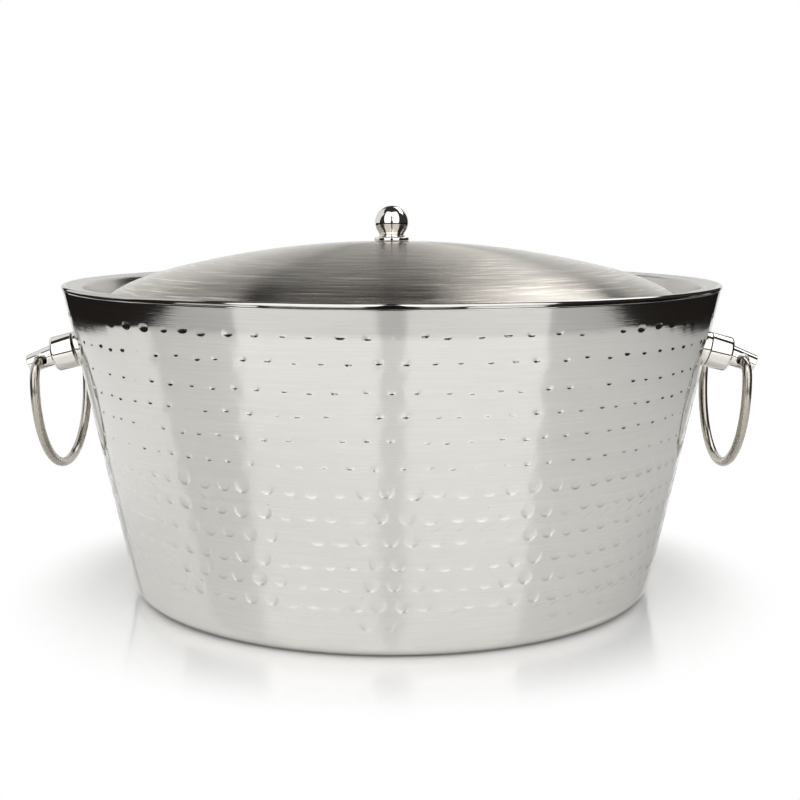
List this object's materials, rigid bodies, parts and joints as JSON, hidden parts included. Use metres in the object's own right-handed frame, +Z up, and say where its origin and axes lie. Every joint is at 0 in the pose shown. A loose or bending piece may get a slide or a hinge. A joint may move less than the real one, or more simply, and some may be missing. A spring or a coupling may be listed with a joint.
{
  "type": "beverage tub",
  "caption": "Double-walled round steel beverage tub with a tapered wall, a domed lift-off lid with a ball knob, and a swinging wire bail at each side.",
  "frame": {"origin": "middle of the base, on the surface that the tub stands on", "axes": "+Z up; +X through the right-hand handle; +Y away from someone who faces the tub, so the bails are slid back towards +Y"},
  "size_m": [0.4578, 0.4, 0.2361],
  "materials": {
    "hammered_steel": "hand-hammered and polished",
    "satin_steel": "satin",
    "brushed_steel": "brushed in rings",
    "polished_steel": "mirror polished",
    "screw_steel": "plain"
  },
  "bodies": {
    "tub": {"outer_shell": "hammered_steel", "inner_shell": "satin_steel", "collar_left": "polished_steel", "boss_left": "polished_steel", "post_left": "polished_steel", "wall_washer_left": "screw_steel", "wall_screw_left": "screw_steel", "collar_right": "polished_steel", "boss_right": "polished_steel", "post_right": "polished_steel", "wall_washer_right": "screw_steel", "wall_screw_right": "screw_steel"},
    "lid": {"lid": "brushed_steel", "knob_flange": "polished_steel", "knob": "polished_steel", "knob_washer": "screw_steel", "knob_screw": "screw_steel"},
    "bail_left": {"bail_left": "polished_steel"},
    "bail_right": {"bail_right": "polished_steel"}
  },
  "joints": [
    {"name": "lid_lift", "type": "slide", "parent": "tub", "child": "lid", "axis": [0, 0, 1], "range_m": [0, 0.08]},
    {"name": "bail_left_swing", "type": "hinge", "parent": "tub", "child": "bail_left", "pos_m": [-0.21884, 0, 0.14014], "axis": [0.0854, 0.9962, -0.0157], "range_deg": [-30, 198]},
    {"name": "bail_right_swing", "type": "hinge", "parent": "tub", "child": "bail_right", "pos_m": [0.21884, 0, 0.14014], "axis": [0.0297, -0.9994, 0.0157], "range_deg": [-30, 198]}
  ]
}
